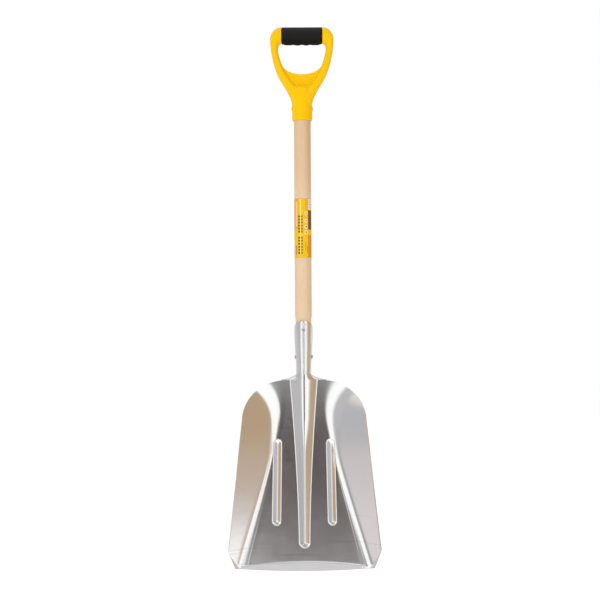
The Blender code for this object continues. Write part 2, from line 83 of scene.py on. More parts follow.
# Scoop: ridge, ribs and lip
RIDGE_END = 61.0
RIDGE_HALF_LOW = 11.2
RIDGE_HALF_GAIN = 18.3
RIDGE_POWER = 1.6
RIDGE_SLOPE = 0.58
RIB_TOP = (57.6, 268.5)
RIB_FOOT = (60.0, 105.5)
RIB_HALF = 8.7
RIB_SLOPE = 0.58
CREST_ROUND = (0.06, 0.3)  # low on the scoop, and near the socket
CREST_HEIGHTS = (240.0, 330.0)
CREST_FLATTEN = 0.05
FOOT_ROUND = 1.3
LIP_BEND = math.radians(12)
LIP_BAND = 18.5
LIP_BAND_LOSS = 8.5
LIP_BAND_REACH = 125.0
LIP_END = (140.0, 6.0, 1.7)  # where the band widens again at the corner, how softly, how fast
LIP_SOFT = 4.0

# Scoop: socket
SOCKET_WRAP = math.radians(168)
SOCKET_R_LOW = 16.3
SOCKET_R_TOP = 19.9
SOCKET_TAPER = (431.0, 511.0)
SOCKET_RIM = 535.0
SOCKET_RIM_DROP = 15.0
CURL_LENGTH = 15.0
EDGE_FILLET = 10.0
MOUTH_DEPTH = 15.0
MOUTH_TOP = 448.0
STRIP_HALF = 55.0
SOCKET_FIT = 0.5
CREST_SETTLE = 35.0  # height over which the ridge's crest settles onto the tube

# Scoop: mesh
SCOOP_ROWS = 230
STRIP_STEPS = 46
SIDE_STEPS = 72
TONGUE_STEPS = 64

# Shaft and label
SHAFT_R = 18.4
SHAFT_FOOT = 434.0
SHAFT_NECK = (535.7, 541.5)
SHAFT_TOP = 1038.0
CHAMFER = 2.0
LABEL = (674.0, 802.5)
LABEL_R = 18.75

# Handle
NECK_R = 22.0
NECK_RIM = 975.0
NECK_TOP = 1046.0
BORE_TOP = 1040.0
BOSS_Z = 1001.5
BOSS_R = 7.5
BOSS_PROUD = 0.6
BAR_Z = 1162.7
CORE_R = 13.0
GRIP_R = 18.0
GRIP_HALF = 44.5
GRIP_SWELL = 2.4
GRIP_WAVE = 0.7
GRIP_PITCH = 19.0
GRIP_WAVE_END = (27.0, 9.0)  # where the waves stop, and over what length they fade
WEB_HALF = 6.0
WEB_FOOT = 1036.0

# Fasteners
RIVET_Z = 455.8
RIVET_R = 3.0
NAIL_Z = 515.8
NAIL_R = 1.5
NAIL_LENGTH = 20.0
PIN_R = 2.5

# Camera
LENS = 58.3  # for a 36 mm sensor
EYE = (-7.3, -2140.0, 580.9)
ROLL = math.radians(0.34)


# ---------------------------------------------------------------------------------------- materials


class Finish:
    """A Principled material and the nodes that feed it. Places are in millimetres."""

    def __init__(self, name, roughness, metallic=0.0, coat=0.0, specular=0.5):
        self.material = bpy.data.materials.new(name)
        self.material.use_nodes = True
        self.tree = self.material.node_tree
        self.shader = self.tree.nodes["Principled BSDF"]
        self.shader.inputs["Roughness"].default_value = roughness
        self.shader.inputs["Metallic"].default_value = metallic
        self.shader.inputs["Coat Weight"].default_value = coat
        self.shader.inputs["Coat Roughness"].default_value = 0.12
        self.shader.inputs["Specular IOR Level"].default_value = specular
        coords = self.tree.nodes.new("ShaderNodeTexCoord")
        scaled = self.tree.nodes.new("ShaderNodeVectorMath")
        scaled.operation = "SCALE"
        scaled.inputs["Scale"].default_value = 1000.0
        self.tree.links.new(coords.outputs["Object"], scaled.inputs[0])
        self.place = scaled.outputs[0]
        split = self.tree.nodes.new("ShaderNodeSeparateXYZ")
        self.tree.links.new(self.place, split.inputs[0])
        self.x, self.y = split.outputs[0], split.outputs[1]
        self.z = self.math("ADD", split.outputs[2], HANG_HEIGHT)

    def feed(self, socket, value):
        if isinstance(value, bpy.types.NodeSocket):
            self.tree.links.new(value, socket)
        elif isinstance(value, tuple) and len(value) == 3 and socket.type == "RGBA":
            socket.default_value = (*value, 1)
        else:
            socket.default_value = value

    def math(self, operation, a, b=0.0, c=0.0):
        made = self.tree.nodes.new("ShaderNodeMath")
        made.operation = operation
        for socket, value in zip(made.inputs, (a, b, c)):
            self.feed(socket, value)
        return made.outputs[0]

    def noise(self, period, detail=2.0, stretch=(1, 1, 1), rough=0.5):
        """Noise from 0 to 1 with this period in millimetres, longer along an axis by stretch."""
        mapped = self.tree.nodes.new("ShaderNodeVectorMath")
        mapped.operation = "MULTIPLY"
        self.feed(mapped.inputs[0], self.place)
        mapped.inputs[1].default_value = tuple(1 / (period * s) for s in stretch)
        made = self.tree.nodes.new("ShaderNodeTexNoise")
        self.feed(made.inputs["Vector"], mapped.outputs[0])
        made.inputs["Scale"].default_value = 1.0
        made.inputs["Detail"].default_value = detail
        made.inputs["Roughness"].default_value = rough
        return made.outputs[0]

    def fade(self, value, start, end, low=0.0, high=1.0):
        made = self.tree.nodes.new("ShaderNodeMapRange")
        made.interpolation_type = "SMOOTHSTEP"
        for socket, given in zip(made.inputs, (value, start, end, low, high)):
            self.feed(socket, given)
        return made.outputs[0]

    def band(self, value, start, end, soft=0.3):
        """1 between start and end, 0 outside."""
        rise = self.fade(value, start - soft, start + soft)
        fall = self.fade(value, end - soft, end + soft, 1, 0)
        return self.math("MULTIPLY", rise, fall)

    def mix(self, share, a, b):
        made = self.tree.nodes.new("ShaderNodeMix")
        made.data_type = "RGBA"
        self.feed(made.inputs[0], share)
        self.feed(made.inputs[6], a)
        self.feed(made.inputs[7], b)
        return made.outputs[2]

    def colour(self, value):
        self.feed(self.shader.inputs["Base Color"], value)

    def roughness(self, value):
        self.feed(self.shader.inputs["Roughness"], value)

    def bump(self, height, depth):
        """Raises the surface by height (0 to 1) times depth, in millimetres."""
        made = self.tree.nodes.new("ShaderNodeBump")
        made.inputs["Strength"].default_value = 1.0
        made.inputs["Distance"].default_value = depth * MM
        self.feed(made.inputs["Height"], height)
        self.feed(self.shader.inputs["Normal"], made.outputs[0])


def aluminium():
    f = Finish("aluminium_sheet", 0.16, 1.0)
    cloud = f.noise(38, 3)
    lines = f.noise(0.9, 2, (60, 60, 1))
    smudge = f.noise(9, 4, rough=0.65)
    tint = f.mix(cloud, (0.95, 0.945, 0.94), (0.985, 0.985, 0.99))
    tint = f.mix(f.fade(smudge, 0.55, 0.8, 0, 0.2), tint, (0.80, 0.80, 0.79))
    streak = f.fade(f.noise(5, 2, (40, 40, 1)), 0.55, 0.8, 0, 0.3)
    streak = f.math("MULTIPLY", streak, f.fade(f.z, 90, 200, 1, 0))
    f.colour(f.mix(streak, tint, (0.55, 0.55, 0.56)))
    spread = f.math("MULTIPLY_ADD", cloud, 0.05, 0.075)
    spread = f.math("ADD", spread, f.fade(f.z, 405, 440, 0, 0.08))
    # The bent spot above the nail is duller than the sheet around it.
    across, up = f.math("SUBTRACT", f.x, 1.6), f.math("SUBTRACT", f.z, NAIL_Z + 11)
    up_share = f.math("MULTIPLY", f.math("MULTIPLY", up, up), 0.35)
    away = f.math("ADD", f.math("MULTIPLY", across, across), up_share)
    spread = f.math("ADD", spread, f.fade(away, 3, 16, 0.5, 0))
    f.roughness(f.math("MULTIPLY_ADD", lines, 0.04, spread))
    # A faint crease runs beside each fold, low on the walls.
    crease = f.math("SUBTRACT", f.math("MULTIPLY_ADD", f.z, 0.256, f.math("ABSOLUTE", f.x)), 126.0)
    crease = f.math("MULTIPLY", f.band(crease, -0.5, 0.5, 0.8), f.fade(f.z, 180, 210, 1, 0))
    relief = f.math("MULTIPLY_ADD", f.noise(26, 2), 5.0, lines)
    f.bump(f.math("MULTIPLY_ADD", crease, 8.0, relief), 0.008)
    return f.material


def wood():
    f = Finish("lacquered_wood", 0.45, specular=0.3)
    flow = f.noise(9, 3, (1, 1, 26), 0.6)
    fibre = f.noise(1.1, 3, (1, 1, 40), 0.6)
    broad = f.noise(60, 2, (0.6, 0.6, 3))
    base = f.mix(flow, (0.80, 0.583, 0.37), (0.86, 0.664, 0.46))
    base = f.mix(f.fade(fibre, 0.52, 0.72, 0, 0.42), base, (0.60, 0.38, 0.19))
    base = f.mix(f.fade(broad, 0.5, 0.8, 0, 0.3), base, (0.74, 0.50, 0.28))
    base = f.mix(f.fade(f.z, 780, 900, 0, 0.45), base, (0.72, 0.475, 0.255))
    # Painted shade: the +X side of the shaft is darker, more strongly higher up.
    right = f.math("MULTIPLY", f.fade(f.x, 2, 16, 0, 0.5), f.fade(f.z, 780, 900, 0.25, 1))
    base = f.mix(right, base, (0.66, 0.40, 0.185))
    f.colour(base)
    f.roughness(f.fade(fibre, 0.2, 0.8, 0.38, 0.52))
    f.bump(fibre, 0.06)
    return f.material


def label_film():
    f = Finish("printed_film", 0.3, specular=0.25)
    around = f.math("MULTIPLY", f.math("ARCTAN2", f.x, f.math("MULTIPLY", f.y, -1.0)), LABEL_R)
    brown, white, grey = (0.10, 0.045, 0.02), (0.9, 0.88, 0.82), (0.35, 0.33, 0.3)
    wash = f.noise(30, 2)
    base = f.mix(wash, (0.91, 0.53, 0.004), (0.97, 0.60, 0.012))

    # Each block: from and to round the shaft, from and to in height, paint.
    blocks = [
        (-26, -9.5, 736, 802, (0.90, 0.44, 0.02)),
        (-17, -13, 742, 796, (0.92, 0.62, 0.40)),
        # Painted highlight: a pale upright stripe where a strip light's reflection falls on the
        # film.
        (-6.6, -3.8, 680, 801, (0.98, 0.80, 0.17)),
        (4.5, 12, 770, 801, (0.88, 0.46, 0.02)),
        (12, 26, 674.5, 722, (0.78, 0.30, 0.02)),
        (12.2, 24, 735, 777, (0.16, 0.09, 0.03)),
        (12.2, 24, 779, 801, white),
        *[(13.5, 22, 782 + 3.8 * k, 783.4 + 3.8 * k, grey) for k in range(5)],
        (-18, -14, 680, 700, (0.45, 0.30, 0.12)),
        (5.5, 6.8, 690, 708, (0.50, 0.30, 0.02)),
        (9, 10.4, 684, 699, (0.42, 0.22, 0.02)),
    ]
    for u0, u1, z0, z1, paint in blocks:
        where = f.math("MULTIPLY", f.band(around, u0, u1), f.band(f.z, z0, z1))
        base = f.mix(where, base, paint)
    # Two columns of beads, then four round marks.
    row = f.math("MULTIPLY", f.math("SUBTRACT", f.z, 680.5), 1 / 6.62)
    bead = f.band(f.math("FRACT", row), 0.18, 0.86, 0.1)
    bead = f.math("MULTIPLY", bead, f.math("SUBTRACT", 1.0, f.band(f.z, 719.5, 727)))
    for u, width, paint in ((-8.7, 1.9, (0.09, 0.05, 0.01)), (-2.2, 1.6, (0.17, 0.11, 0.02))):
        line = f.math("MULTIPLY", f.band(around, u - width, u + width), f.band(f.z, 681, 767))
        base = f.mix(f.math("MULTIPLY", bead, line), base, paint)
    for z, pip in ((770.7, grey), (754.3, (0.50, 0.20, 0.16)), (741.1, brown), (729.0, brown)):
        du = f.math("SUBTRACT", around, 7.2)
        dz = f.math("SUBTRACT", f.z, z)
        away = f.math("SQRT", f.math("ADD", f.math("MULTIPLY", du, du), f.math("MULTIPLY", dz, dz)))
        base = f.mix(f.fade(away, 3.6, 4.2, 1, 0), base, (0.95, 0.78, 0.55))
        base = f.mix(f.fade(away, 1.3, 2.0, 1, 0), base, pip)
    edges = f.math("SUBTRACT", 1.0, f.band(f.z, LABEL[0] + 1.2, LABEL[1] - 1.2))
    f.colour(f.mix(edges, base, (0.88, 0.48, 0.01)))
    f.roughness(f.fade(wash, 0.2, 0.8, 0.25, 0.38))
    f.bump(f.noise(14, 2), 0.06)
    return f.material


def yellow_plastic():
    f = Finish("yellow_plastic", 0.35, specular=0.12)
    flow = f.noise(45, 3)
    grain = f.noise(0.8, 2)
    scuff = f.noise(5, 5, (1, 1, 3), 0.7)
    base = f.mix(flow, (1.0, 0.58, 0.0), (1.0, 0.62, 0.001))
    f.colour(f.mix(f.fade(scuff, 0.62, 0.85, 0, 0.25), base, (0.88, 0.47, 0.01)))
    f.roughness(f.math("MULTIPLY_ADD", scuff, 0.16, 0.27))
    f.bump(grain, 0.03)
    return f.material


def black_rubber():
    f = Finish("black_grip", 0.55, specular=0.3)
    grain = f.noise(1.0, 2)
    dust = f.noise(12, 4, rough=0.65)
    dusty = f.fade(dust, 0.45, 0.8, 0, 0.6)
    f.colour(f.mix(dusty, (0.004, 0.0035, 0.0035), (0.012, 0.010, 0.010)))
    f.roughness(f.fade(dust, 0.3, 0.7, 0.48, 0.62))
    f.bump(grain, 0.05)
    return f.material


def zinc_steel():
    f = Finish("zinc_steel", 0.3, 1.0)
    wear = f.noise(1.6, 3)
    f.colour(f.mix(wear, (0.50, 0.49, 0.48), (0.72, 0.72, 0.72)))
    f.roughness(f.fade(wear, 0.2, 0.8, 0.22, 0.4))
    f.bump(wear, 0.05)
    return f.material


# ----------------------------------------------------------------------------------------- building


def mesh_object(name, points, faces, collection=None):
    """An object from points in millimetres above the lip, smooth shaded."""
    mesh = bpy.data.meshes.new(name)
    points = (np.array(points, float) - (0, 0, HANG_HEIGHT)) * MM
    mesh.from_pydata(points.tolist(), [], faces)
    mesh.update()
    obj = bpy.data.objects.new(name, mesh)
    (collection or bpy.context.scene.collection).objects.link(obj)
    outward = bmesh.new()
    outward.from_mesh(mesh)
    if all(e.is_manifold for e in outward.edges):
        bmesh.ops.recalc_face_normals(outward, faces=outward.faces)
    outward.to_mesh(mesh)
    outward.free()
    mesh.shade_smooth()
    return obj


def finished(obj, material, node):
    obj.data.materials.clear()
    obj.data.materials.append(material)
    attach(obj, "root")
    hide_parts(node)
    return obj


def turned(name, profile, centre=(0, 0, 0), axis="Z", steps=96):
    """A profile of (radius, height) points turned about an axis through centre."""
    points, faces = [], []
    closed = profile[0][0] > 0
    for r, h in profile:
        for k in range(steps):
            a = 2 * math.pi * k / steps
            across = (r * math.cos(a), r * math.sin(a), h)
            if axis == "X":
                across = (h, across[0], across[1])
            if axis == "Y":
                across = (across[0], h, across[1])
            points.append(tuple(c + d for c, d in zip(centre, across)))
    for i in range(len(profile) - (0 if closed else 1)):
        j = (i + 1) % len(profile)
        for k in range(steps):
            n = (k + 1) % steps
            faces.append((i * steps + k, i * steps + n, j * steps + n, j * steps + k))
    obj = mesh_object(name, points, faces)
    mesh = bmesh.new()
    mesh.from_mesh(obj.data)
    bmesh.ops.remove_doubles(mesh, verts=mesh.verts, dist=1e-6)
    bmesh.ops.dissolve_degenerate(mesh, dist=1e-7, edges=mesh.edges)
    bmesh.ops.recalc_face_normals(mesh, faces=mesh.faces)
    mesh.to_mesh(obj.data)
    mesh.free()
    obj.data.shade_smooth()
    obj.data.set_sharp_from_angle(angle=math.radians(40))
    return obj


def rounded(profile, radius, count=4):
    """The profile with each corner that turns replaced by a small round."""
    found = [profile[0]]
    for before, corner, after in zip(profile[:-2], profile[1:-1], profile[2:]):
        a, b, c = (Vector((*p, 0)) for p in (before, corner, after))
        reach = min(radius, (a - b).length * 0.45, (c - b).length * 0.45)
        start, end = b + (a - b).normalized() * reach, b + (c - b).normalized() * reach
        if (b - a).angle(c - b) > 0.3:
            found += [(p.x, p.y) for p in interpolate_bezier(start, b, b, end, count)]
        else:
            found.append(corner)
    return [*found, profile[-1]]


def apply_modifiers(obj):
    graph = bpy.context.evaluated_depsgraph_get()
    mesh = bpy.data.meshes.new_from_object(obj.evaluated_get(graph))
    old = obj.data
    obj.modifiers.clear()
    obj.data = mesh
    bpy.data.meshes.remove(old)
    return obj


def cut(obj, cutter, operation="DIFFERENCE"):
    made = obj.modifiers.new("cut", "BOOLEAN")
    made.operation = operation
    made.object = cutter
    made.solver = "EXACT"
    apply_modifiers(obj)
    bpy.data.objects.remove(cutter, do_unlink=True)


def rod(radius, start, end, steps=48):
    """A cylinder between two points on a line along X, Y or Z."""
    axis = next(k for k in range(3) if start[k] != end[k])
    centre = [0 if k == axis else start[k] for k in range(3)]
    profile = [(0, start[axis]), (radius, start[axis]), (radius, end[axis]), (0, end[axis])]
    return turned("rod", profile, centre, "XYZ"[axis], steps)


# -------------------------------------------------------------------------------------------- scoop


def rounded_hinge(s, half):
    """0 before a fold, s after it, and a smooth round stretch of this half width between them."""
    t = np.clip((s + half) / (2 * half), 0, 1)
    return np.where(s > half, s, 2 * half * (t**3 - t**4 / 2))


def smoothstep(t):
    t = np.clip(t, 0, 1)
    return t * t * (3 - 2 * t)


def pressed_fold(away, half, slope, crest):
    """A long raised fold: steepest at its foot, with a round crest."""
    inside = np.hypot(half, crest * half) - np.hypot(away, crest * half)
    up = rounded_hinge(inside, FOOT_ROUND)
    return slope * up * (1 - CREST_FLATTEN * up / half)


def lip_height(x):
    return LIP_CORNER[1] * (x / LIP_CORNER[0]) ** 2


def top_height(x):
    across = np.clip((x - TOP_FLAT[0]) / (SHOULDER[0] - TOP_FLAT[0]), 0, 1)
    rise = (1 - across**SHOULDER_POWER) ** (1 / SHOULDER_POWER)
    return SHOULDER[1] + (TOP_FLAT[1] - SHOULDER[1]) * rise


def fold_half(z):
    below = FOLD_WAIST - z
    flare = np.clip((z - FLARE_START) / (TOP_FLAT[1] - FLARE_START), 0, 1)
    spread = FOLD_SPREAD * (below + np.hypot(below, FOLD_SOFT))
    return FOLD_HALF + spread + FOLD_FLARE * flare**FOLD_FLARE_POWER


def wall_relief(x, z):
    rise = fold_half(z + 0.5) - fold_half(z - 0.5)
    slope = rise / np.hypot(1, rise)
    away = (x - fold_half(z)) * np.sqrt(1 - slope**2)
    above = (z - FILLET_TIGHT) / FILLET_GROWTH
    half = FILLET + FILLET_HIGH_GAIN * np.clip(above, 0, 1.4) ** 1.2
    up = (z - EASE_HEIGHTS[0]) / (EASE_HEIGHTS[1] - EASE_HEIGHTS[0])
    ease = FOLD_EASE * (1 - smoothstep(up))
    sharp = (1 - ease) * rounded_hinge(away, half)
    gentle = ease * rounded_hinge(away + EASE_OUT, EASE_HALF)
    return math.tan(WALL_ANGLE) * (sharp + gentle)


def ridge_half(z):
    up = np.clip((z - RIDGE_END) / (TOP_FLAT[1] - RIDGE_END), 0, 1)
    return RIDGE_HALF_LOW + RIDGE_HALF_GAIN * up**RIDGE_POWER


def ridge_relief(x, z):
    up = (z - CREST_HEIGHTS[0]) / (CREST_HEIGHTS[1] - CREST_HEIGHTS[0])
    crest = CREST_ROUND[0] + (CREST_ROUND[1] - CREST_ROUND[0]) * smoothstep(up)
    away = np.hypot(x, np.minimum(z - RIDGE_END, 0))
    return pressed_fold(away, ridge_half(z), RIDGE_SLOPE, crest)


def rib_relief(x, z):
    along = np.array(RIB_TOP) - np.array(RIB_FOOT)
    t = ((x - RIB_FOOT[0]) * along[0] + (z - RIB_FOOT[1]) * along[1]) / (along @ along)
    t = np.clip(t, 0, 1)
    away = np.hypot(x - RIB_FOOT[0] - t * along[0], z - RIB_FOOT[1] - t * along[1])
    return pressed_fold(away, RIB_HALF, RIB_SLOPE, CREST_ROUND[0])


def lip_relief(x, z):
    start, soft, gain = LIP_END
    band = LIP_BAND - LIP_BAND_LOSS * (x / LIP_BAND_REACH) ** 2
    band = band + gain * rounded_hinge(x - start, soft)
    return -math.tan(LIP_BEND) * rounded_hinge(band - z, LIP_SOFT)


def relief(x, z):
    """How far the pressed sheet stands out of the floor's plane, towards -Y."""
    return wall_relief(x, z) + ridge_relief(x, z) + rib_relief(x, z) + lip_relief(x, z)


def floor_y(z):
    return FLOOR_TOP_Y - (TOP_FLAT[1] - z) * math.tan(LEAN)


def socket_radius(z):
    t = np.clip((z - SOCKET_TAPER[0]) / (SOCKET_TAPER[1] - SOCKET_TAPER[0]), 0, 1)
    return SOCKET_R_LOW + (SOCKET_R_TOP - SOCKET_R_LOW) * smoothstep(t**0.8)


def sheet_x(s, z):
    x = np.linspace(0, 1.2 * STRIP_HALF, 481)
    run = np.hypot(np.diff(x), np.diff(relief(x, z)))
    return np.interp(s, np.concatenate([[0], np.cumsum(run)]), x)


def strip_ends(s):
    return lip_height(sheet_x(s, 0)), top_height(sheet_x(s, TOP_FLAT[1]))


def scoop_point(x, z):
    return x, floor_y(z) - relief(x, z), z


def strip_edge(z):
    """Half the flat width of the tongue that rolls into the socket."""
    up = np.clip(z - TOP_FLAT[1], 0, EDGE_FILLET)
    fillet = EDGE_FILLET - np.sqrt(EDGE_FILLET**2 - (EDGE_FILLET - up) ** 2)
    base = TOP_FLAT[1]
    full = SOCKET_WRAP * socket_radius(z)
    mouth = MOUTH_DEPTH * (1 - smoothstep((z - base) / (MOUTH_TOP - base)))
    corner = STRIP_HALF - full - EDGE_FILLET + MOUTH_DEPTH
    return full - mouth + fillet + corner * (fillet / EDGE_FILLET)


def rim_height(s):
    return SOCKET_RIM - SOCKET_RIM_DROP * (1 - math.cos(s / SOCKET_R_TOP))


def tongue_point(s, z):
    """A point of the tongue: its section uncurls from the tube into the top of the scoop."""
    base = TOP_FLAT[1]
    curl = smoothstep(np.clip((z - base) / CURL_LENGTH, 0, 1) ** 0.7)
    along = np.linspace(0, s, 161)
    x = sheet_x(along, base)
    flat_angle = along
    if s > 0:
        flat_angle = -np.arctan(np.gradient(relief(x, base), x + 1e-9 * np.arange(161)))
    angle = (1 - curl) * flat_angle + curl * along / socket_radius(z)
    step = along[1] - along[0]
    across = np.sum((np.cos(angle[:-1]) + np.cos(angle[1:])) / 2) * step
    back = np.sum((np.sin(angle[:-1]) + np.sin(angle[1:])) / 2) * step
    crest_low, below = scoop_point(0, base)[1], scoop_point(0, base - 1)[1]
    crest_low += (crest_low - below) * (z - base)
    settle = smoothstep((z - base) / CREST_SETTLE)
    crest = (1 - settle) * crest_low - settle * socket_radius(z)
    return across, crest + back, z


def wall_side(shares):
    """Points of the side outline, from the lip's corner (0) to the split on the shoulder (1)."""
    corner, low, high = Vector(WALL_CORNER), Vector(LIP_CORNER), Vector(SHOULDER)
    bow = [Vector(handle) for handle in WALL_BOW]
    before = corner + (low - corner).normalized() * WALL_CORNER_ROUND
    after = corner + (bow[0] - corner).normalized() * WALL_CORNER_ROUND
    line = [low, *interpolate_bezier(before, corner, corner, after, 13)]
    line += interpolate_bezier(after, *bow, high, 41)[1:]
    for x in np.linspace(SHOULDER[0], OUTLINE_SPLIT, 41)[1:]:
        line.append(Vector((x, float(top_height(x)))))
    line = np.array([p[:2] for p in line])
    run = np.concatenate([[0], np.cumsum(np.hypot(*np.diff(line, axis=0).T))])
    return np.array([np.interp(shares * run[-1], run, line[:, k]) for k in (0, 1)]).T


def side_patch(shares_out, shares_up):
    """Points (x, z) of the sheet from the middle strip to the outline, blended from four sides."""
    z_low, z_high = strip_ends(STRIP_HALF)
    heights = z_low + shares_up * (z_high - z_low)
    inner = np.array([[sheet_x(STRIP_HALF, z), z] for z in heights])
    outer = wall_side(shares_up)
    low_x = inner[0, 0] + shares_out * (LIP_CORNER[0] - inner[0, 0])
    high_x = inner[-1, 0] + shares_out * (OUTLINE_SPLIT - inner[-1, 0])
    low = np.stack([low_x, lip_height(low_x)], 1)
    high = np.stack([high_x, top_height(high_x)], 1)
    out, up = shares_out[None, :, None], shares_up[:, None, None]
    blend = (1 - out) * inner[:, None] + out * outer[:, None]
    blend = blend + (1 - up) * low[None] + up * high[None]
    blend -= (1 - up) * ((1 - out) * inner[0] + out * outer[0])
    return blend - up * ((1 - out) * inner[-1] + out * outer[-1])


def scoop_grid():
    """Half of the sheet, as rows of points from the lip up. Tongue rows have fewer columns."""
    columns = np.linspace(0, STRIP_HALF, STRIP_STEPS + 1)
    out = np.linspace(0, 1, SIDE_STEPS + 1)[1:]
    out = 0.5 * out + 0.5 * out**1.4
    ups = np.linspace(0, 1, SCOOP_ROWS + 1)
    side = side_patch(np.concatenate([[0], out]), ups)[:, 1:]
    ends = [strip_ends(s) for s in columns]
    grid = []
    for i, up in enumerate(ups):
        row = []
        for s, (z_low, z_high) in zip(columns, ends):
            z = z_low + up * (z_high - z_low)
            row.append(scoop_point(sheet_x(s, z), z))
        row += [scoop_point(x, z) for x, z in side[i]]
        grid.append(row)
    for share in np.linspace(0, 1, TONGUE_STEPS + 1)[1:] ** 1.5:
        row = []
        for s, (_, z_low) in zip(columns, ends):
            z = z_low + share * (rim_height(s) - z_low)
            row.append(tongue_point(s * strip_edge(z) / STRIP_HALF, z))
        grid.append(row)
    return grid


def build_scoop(material):
    grid = scoop_grid()
    points, index = [], []
    for row in grid:
        start = len(points)
        points += [(-x, y, z) for x, y, z in reversed(row[1:])] + row
        index.append(list(range(start, len(points))))
    faces = []
    for low, high in zip(index[:-1], index[1:]):
        spare = (len(low) - len(high)) // 2
        low = low[spare : len(low) - spare]
        faces += [(low[j], low[j + 1], high[j + 1], high[j]) for j in range(len(low) - 1)]
    obj = mesh_object("scoop_sheet", points, faces)
    skin = obj.modifiers.new("sheet", "SOLIDIFY")
    skin.thickness = SHEET * MM
    skin.offset = -1
    skin.use_even_offset = True
    soft = obj.modifiers.new("edges", "BEVEL")
    soft.width = 0.5 * MM
    soft.segments = 2
    soft.limit_method = "ANGLE"
    soft.angle_limit = math.radians(50)
    apply_modifiers(obj)
    reach = 2 * SOCKET_R_TOP
    cut(obj, rod(RIVET_R + GAP, (-reach, 0, RIVET_Z), (reach, 0, RIVET_Z)))
    cut(obj, rod(NAIL_R + GAP, (0, -reach, NAIL_Z), (0, 0, NAIL_Z)))
    obj.data.shade_smooth()
    obj.data.set_sharp_from_angle(angle=math.radians(50))
    return finished(obj, material, "scoop")


# -------------------------------------------------------------------------------------------- shaft


def build_shaft(material):
    inside = SHEET + SOCKET_FIT
    foot_r = float(socket_radius(SHAFT_FOOT)) - inside
    profile = [(0, SHAFT_TOP), (SHAFT_R - CHAMFER, SHAFT_TOP), (SHAFT_R, SHAFT_TOP - CHAMFER)]
    profile += [(SHAFT_R, float(z)) for z in np.linspace(SHAFT_TOP - 30, SHAFT_NECK[1] + 3, 24)]
    profile += [(SHAFT_R - 0.25, SHAFT_NECK[1] + 0.6), (SHAFT_R - 0.9, SHAFT_NECK[1] - 0.8)]
    for z in np.linspace(SHAFT_NECK[0], SHAFT_FOOT + CHAMFER, 40):
        profile.append((float(socket_radius(z)) - inside, float(z)))
    profile += [(foot_r - CHAMFER, SHAFT_FOOT), (0, SHAFT_FOOT)]
    obj = turned("shaft", profile)
    reach = 2 * SHAFT_R
    cut(obj, rod(RIVET_R + GAP, (-reach, 0, RIVET_Z), (reach, 0, RIVET_Z)))
    cut(obj, rod(PIN_R + GAP, (-reach, 0, BOSS_Z), (reach, 0, BOSS_Z)))
    hole_end = NAIL_LENGTH + CHAMFER - SOCKET_R_TOP
    cut(obj, rod(NAIL_R + GAP, (0, -reach, NAIL_Z), (0, hole_end, NAIL_Z)))
    obj.data.shade_smooth()
    obj.data.set_sharp_from_angle(angle=math.radians(35))
    return finished(obj, material, "wooden_shaft")


def build_label(material):
    inner, outer = SHAFT_R + 0.2, SHAFT_R + 0.5
    profile = [(outer, LABEL[1]), (outer, LABEL[0]), (inner, LABEL[0]), (inner, LABEL[1])]
    return finished(turned("label", profile), material, "shaft_label")


# ------------------------------------------------------------------------------------------- handle


def bezier(points, count):
    found = []
    for i in range(0, len(points) - 1, 3):
        knots = [Vector((*p, 0)) for p in points[i : i + 4]]
        found += interpolate_bezier(*knots, count)[(1 if found else 0) :]
    return [(p.x, p.y) for p in found]


OUTER_RAIL = [
    (GRIP_HALF + 0.5, BAR_Z + GRIP_R), (59, 1180.7), (69.8, 1168.5), (69.8, 1154),
    (69.8, 1129), (63.3, 1098.5), (53.2, 1074.5), (45.4, 1056.5), (22, 1030), (21.6, 1006),
]  # fmt: skip
INNER_RAIL = [
    (GRIP_HALF + 0.5, BAR_Z - GRIP_R), (48, 1144.7), (50.8, 1143.5), (52.2, 1137),
    (53.4, 1127), (48.8, 1107), (36.2, 1081), (29.5, 1068), (16, 1050), (0, 1044),
]  # fmt: skip
THROAT = [  # height, half width, half depth and squareness where the arms run into the neck
    (1003, 21.2, 21.2, 2.0),
    (1020, 22.4, 19.4, 2.2),
    (1035, 28.2, 16.8, 2.5),
    (1050, 36.8, 14.8, 3.0),
]
ARM_DEPTHS = [(0.0, 18.0), (0.34, 15.0), (0.7, 14.0), (0.85, 16.0), (1.0, 20.0)]
ARM_STEPS = 26
RING_POINTS = 64
RING_POWER = 2.5
VOXEL = 0.85


def ring(outer, inner, depth, power=RING_POWER):
    outer, inner = np.array([outer[0], 0, outer[1]]), np.array([inner[0], 0, inner[1]])
    centre, half = (outer + inner) / 2, (outer - inner) / 2
    points = []
    for k in range(RING_POINTS):
        a = 2 * math.pi * k / RING_POINTS
        c, s = math.cos(a), math.sin(a)
        across = math.copysign(abs(c) ** (2 / power), c)
        front = math.copysign(abs(s) ** (2 / power), s)
        points.append(tuple(centre + half * across + np.array([0, depth * front, 0])))
    return points


def arm_rings():
    core_top, core_low = BAR_Z + CORE_R, BAR_Z - CORE_R
    collar = GRIP_HALF + 0.5
    rings = [ring((x, core_top), (x, core_low), CORE_R, 2) for x in np.linspace(0, collar, 12)]
    outer, inner = bezier(OUTER_RAIL, ARM_STEPS + 1), bezier(INNER_RAIL, ARM_STEPS + 1)
    shares, depths = zip(*ARM_DEPTHS)
    for i, (o, n) in enumerate(zip(outer, inner)):
        share = i / (len(outer) - 1)
        power = 2 + (RING_POWER - 2) * min(1, 3 * share)
        rings.append(ring(o, n, float(np.interp(share, shares, depths)), power))
    rings.append(ring((0, NECK_RIM + 30), (0, NECK_TOP - 8), NECK_R - 2))
    return rings


